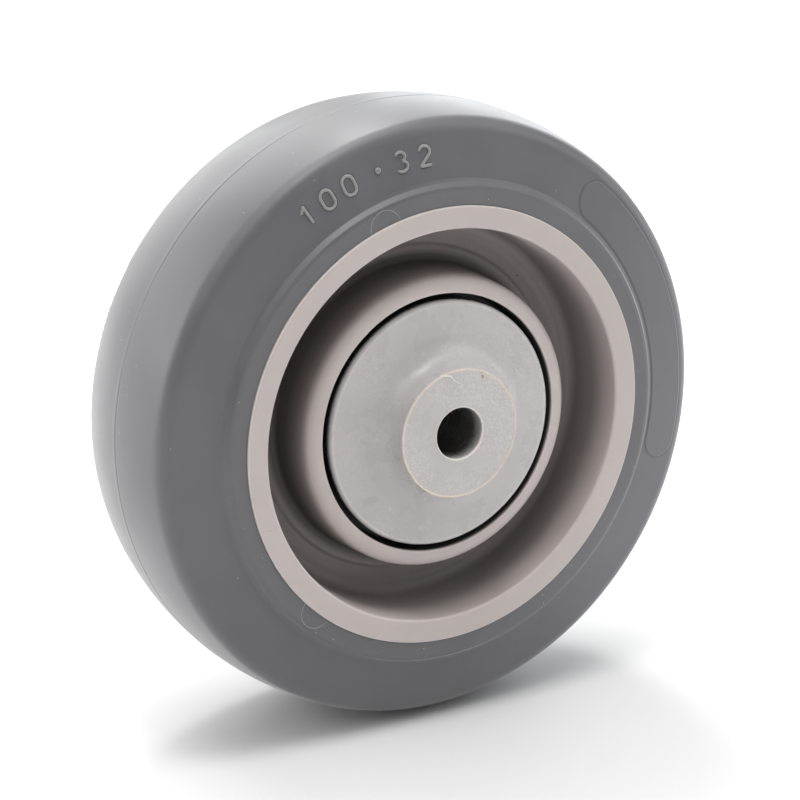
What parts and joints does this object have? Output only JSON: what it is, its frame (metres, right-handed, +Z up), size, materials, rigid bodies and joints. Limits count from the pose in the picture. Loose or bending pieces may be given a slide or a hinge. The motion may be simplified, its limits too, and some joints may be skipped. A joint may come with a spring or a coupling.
{
  "type": "industrial castor wheel",
  "caption": "Castor wheel with a grey rubber tyre on a moulded plastic centre, running on a ball bearing between two domed thread guards with a plain axle bore.",
  "frame": {"origin": "centre of the wheel, on its axis and midway between the two boss faces", "axes": "+Z up; the axle runs along +Y, and the face seen in the picture looks towards -Y"},
  "size_m": [0.1, 0.038, 0.1],
  "materials": {
    "tyre_rubber": "matt grey thermoplastic rubber",
    "centre_plastic": "warm grey moulded polypropylene",
    "guard_plastic": "light grey moulded plastic, lightly frosted",
    "bearing_steel": "ground bearing steel",
    "ball_steel": "polished bearing steel",
    "cage_steel": "pressed sheet steel",
    "shield_steel": "pressed zinc-plated steel"
  },
  "bodies": {
    "axle_core": {"bearing_inner_ring": "bearing_steel", "thread_guard_front": "guard_plastic", "thread_guard_back": "guard_plastic"},
    "wheel": {"tyre": "tyre_rubber", "wheel_centre": "centre_plastic", "bearing_outer_ring": "bearing_steel", "bearing_shield_front": "shield_steel", "bearing_shield_back": "shield_steel"},
    "cage": {"cage_half_front": "cage_steel", "cage_half_back": "cage_steel", "cage_rivets": "cage_steel"},
    "ball_1": {"ball_1": "ball_steel"},
    "ball_2": {"ball_2": "ball_steel"},
    "ball_3": {"ball_3": "ball_steel"},
    "ball_4": {"ball_4": "ball_steel"},
    "ball_5": {"ball_5": "ball_steel"},
    "ball_6": {"ball_6": "ball_steel"},
    "ball_7": {"ball_7": "ball_steel"},
    "ball_8": {"ball_8": "ball_steel"}
  },
  "joints": [
    {"name": "wheel_spin", "type": "hinge", "parent": "axle_core", "child": "wheel", "pos_m": [0, 0, 0], "axis": [0, 1, 0], "continuous": true},
    {"name": "cage_spin", "type": "hinge", "parent": "axle_core", "child": "cage", "pos_m": [0, 0, 0], "axis": [0, 1, 0], "continuous": true},
    {"name": "ball_1_spin", "type": "hinge", "parent": "cage", "child": "ball_1", "pos_m": [0, 0, 0.0125], "axis": [0, 1, 0], "continuous": true},
    {"name": "ball_2_spin", "type": "hinge", "parent": "cage", "child": "ball_2", "pos_m": [0.00884, 0, 0.00884], "axis": [0, 1, 0], "continuous": true},
    {"name": "ball_3_spin", "type": "hinge", "parent": "cage", "child": "ball_3", "pos_m": [0.0125, 0, 0], "axis": [0, 1, 0], "continuous": true},
    {"name": "ball_4_spin", "type": "hinge", "parent": "cage", "child": "ball_4", "pos_m": [0.00884, 0, -0.00884], "axis": [0, 1, 0], "continuous": true},
    {"name": "ball_5_spin", "type": "hinge", "parent": "cage", "child": "ball_5", "pos_m": [0, 0, -0.0125], "axis": [0, 1, 0], "continuous": true},
    {"name": "ball_6_spin", "type": "hinge", "parent": "cage", "child": "ball_6", "pos_m": [-0.00884, 0, -0.00884], "axis": [0, 1, 0], "continuous": true},
    {"name": "ball_7_spin", "type": "hinge", "parent": "cage", "child": "ball_7", "pos_m": [-0.0125, 0, 0], "axis": [0, 1, 0], "continuous": true},
    {"name": "ball_8_spin", "type": "hinge", "parent": "cage", "child": "ball_8", "pos_m": [-0.00884, 0, 0.00884], "axis": [0, 1, 0], "continuous": true}
  ],
  "couplings": [
    {"joint": "cage_spin", "follows": "wheel_spin", "ratio": 0.619},
    {"joint": "ball_1_spin", "follows": "wheel_spin", "ratio": 1.9818},
    {"joint": "ball_2_spin", "follows": "wheel_spin", "ratio": 1.9818},
    {"joint": "ball_3_spin", "follows": "wheel_spin", "ratio": 1.9818},
    {"joint": "ball_4_spin", "follows": "wheel_spin", "ratio": 1.9818},
    {"joint": "ball_5_spin", "follows": "wheel_spin", "ratio": 1.9818},
    {"joint": "ball_6_spin", "follows": "wheel_spin", "ratio": 1.9818},
    {"joint": "ball_7_spin", "follows": "wheel_spin", "ratio": 1.9818},
    {"joint": "ball_8_spin", "follows": "wheel_spin", "ratio": 1.9818}
  ]
}
